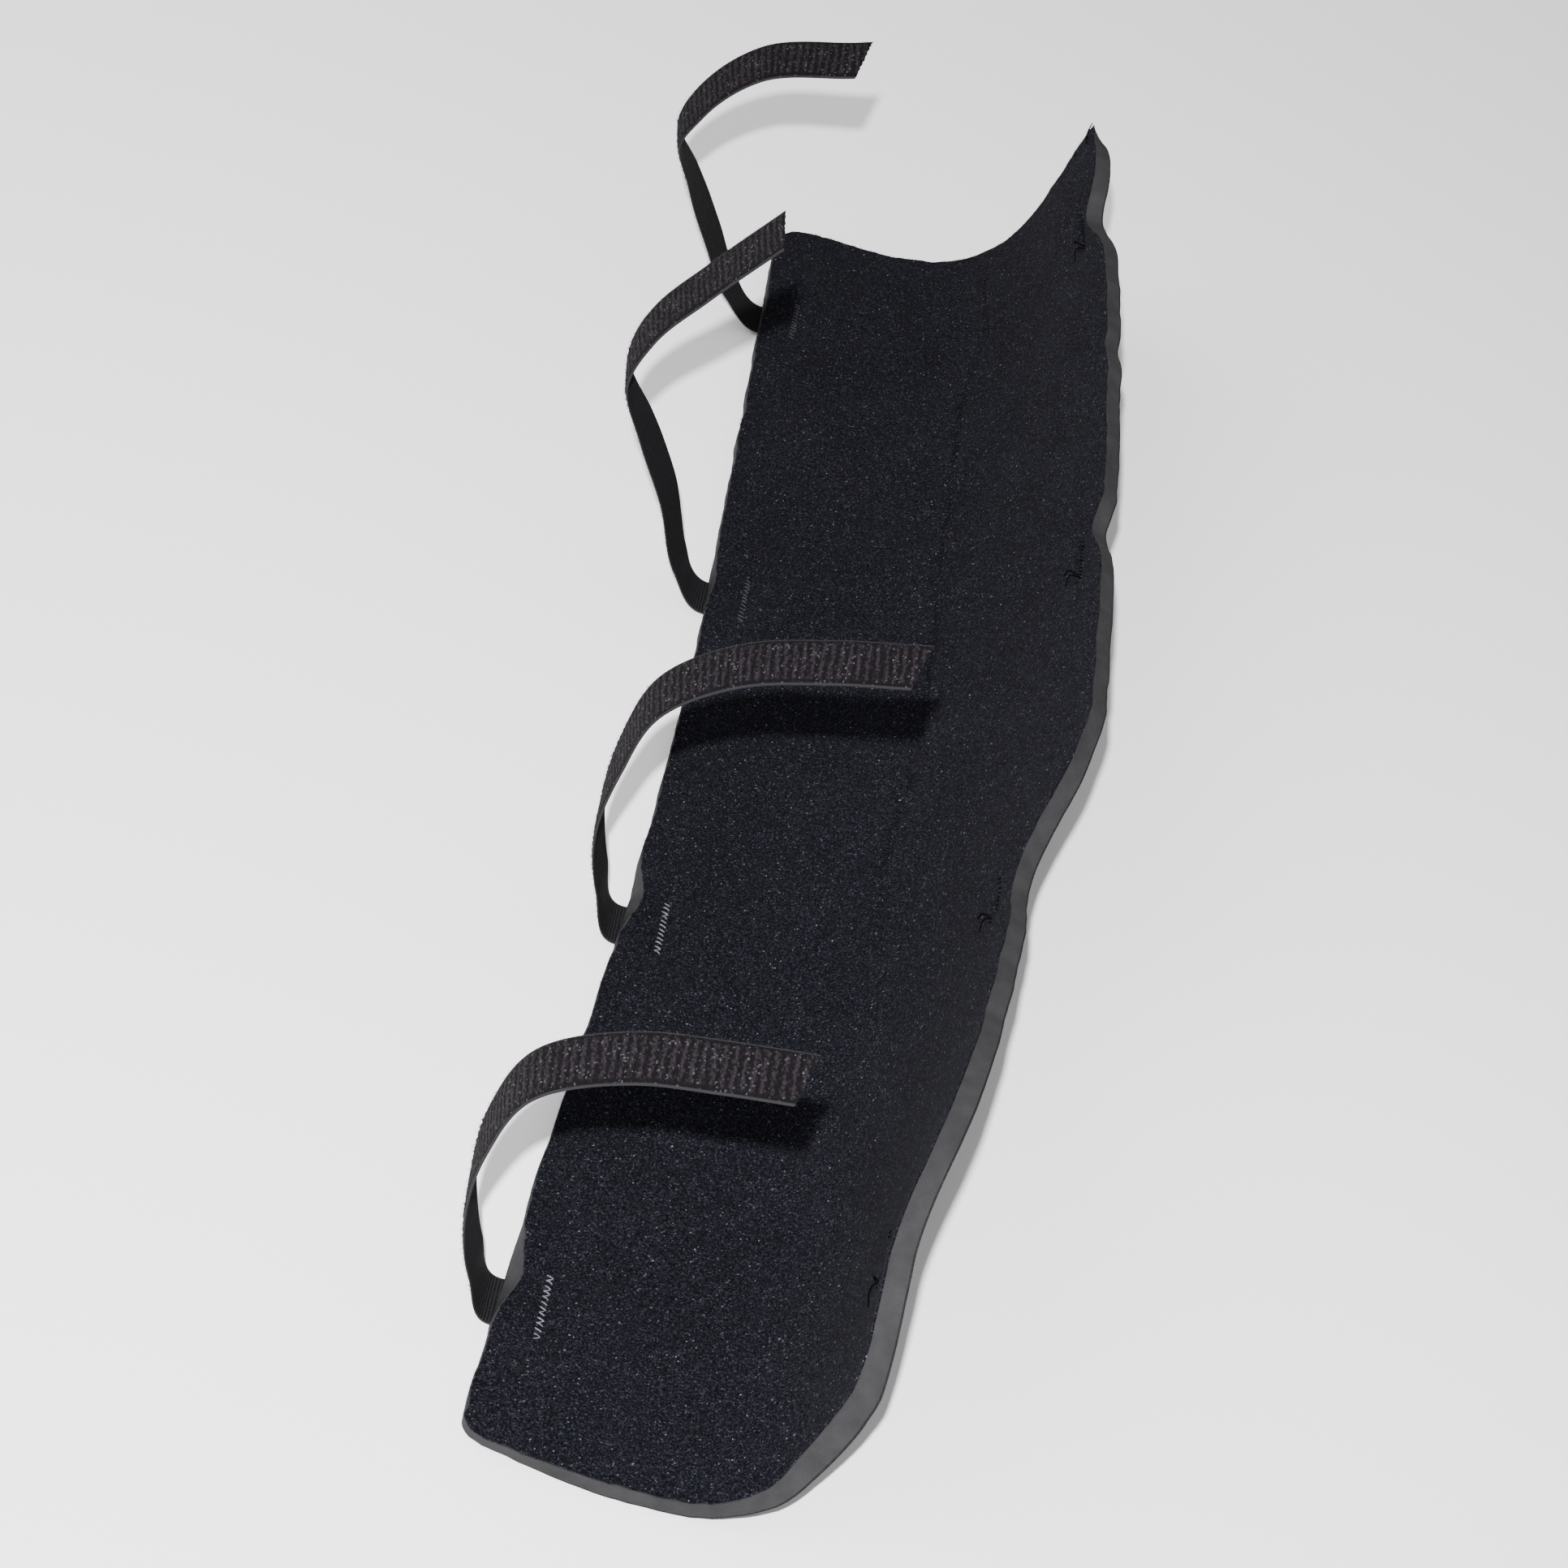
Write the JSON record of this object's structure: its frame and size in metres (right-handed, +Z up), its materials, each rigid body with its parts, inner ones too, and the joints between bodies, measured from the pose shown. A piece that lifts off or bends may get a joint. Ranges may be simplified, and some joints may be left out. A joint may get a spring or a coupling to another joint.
{
  "type": "kick shield",
  "caption": "Long foam limb guard bent into an open gutter, with sewn hook-and-loop straps that curl over it and meet landing tabs on the outside of the turned-up wing.",
  "frame": {"origin": "on the floor under the middle of the whole object's box; the shield lies on the outer cover of its flat wing", "axes": "+Y along the shield from the ankle end to the knee end, +X from the flat wing to the turned-up wing, +Z up, out of the lining of the flat wing"},
  "size_m": [0.1764, 0.5783, 0.155],
  "materials": {
    "lining": "black brushed nap with a fine bright fleck",
    "foam": "cut closed-cell foam, matte mid grey",
    "cover": "black plain-woven cover cloth, matte",
    "tape": "black hook-and-loop tape, ribbed pile, woven selvage",
    "thread": "light grey bonded thread, satin"
  },
  "bodies": {
    "shield": {"inner_lining": "lining", "foam_core": "foam", "outer_cover": "cover", "strap_root_1": "tape", "strap_root_2": "tape", "strap_root_3": "tape", "strap_root_4": "tape", "strap_tack_1": "thread", "strap_tack_2": "thread", "strap_tack_3": "thread", "strap_tack_4": "thread", "landing_tab_1": "tape", "landing_tab_2": "tape", "landing_tab_3": "tape", "landing_tab_4": "tape", "tab_tack_1": "thread", "tab_tack_2": "thread", "tab_tack_3": "thread", "tab_tack_4": "thread"},
    "strap_1": {"strap_1": "tape"},
    "strap_2": {"strap_2": "tape"},
    "strap_3": {"strap_3": "tape"},
    "strap_4": {"strap_4": "tape"}
  },
  "joints": [
    {"name": "strap_1_fold", "type": "hinge", "parent": "shield", "child": "strap_1", "pos_m": [-0.04188, 0.2317, 0.0017], "axis": [0, 1, 0], "range_deg": [-44, 45], "stiffness_Nm_per_rad": 0.02},
    {"name": "strap_2_fold", "type": "hinge", "parent": "shield", "child": "strap_2", "pos_m": [-0.03825, 0.0707, 0.0017], "axis": [0, 1, 0], "range_deg": [-50, 38], "stiffness_Nm_per_rad": 0.02},
    {"name": "strap_3_fold", "type": "hinge", "parent": "shield", "child": "strap_3", "pos_m": [-0.04165, -0.0873, 0.0017], "axis": [0, 1, 0], "range_deg": [-65, 22], "stiffness_Nm_per_rad": 0.02},
    {"name": "strap_4_fold", "type": "hinge", "parent": "shield", "child": "strap_4", "pos_m": [-0.05125, -0.2368, 0.0017], "axis": [0, 1, 0], "range_deg": [-65, 20], "stiffness_Nm_per_rad": 0.02}
  ]
}
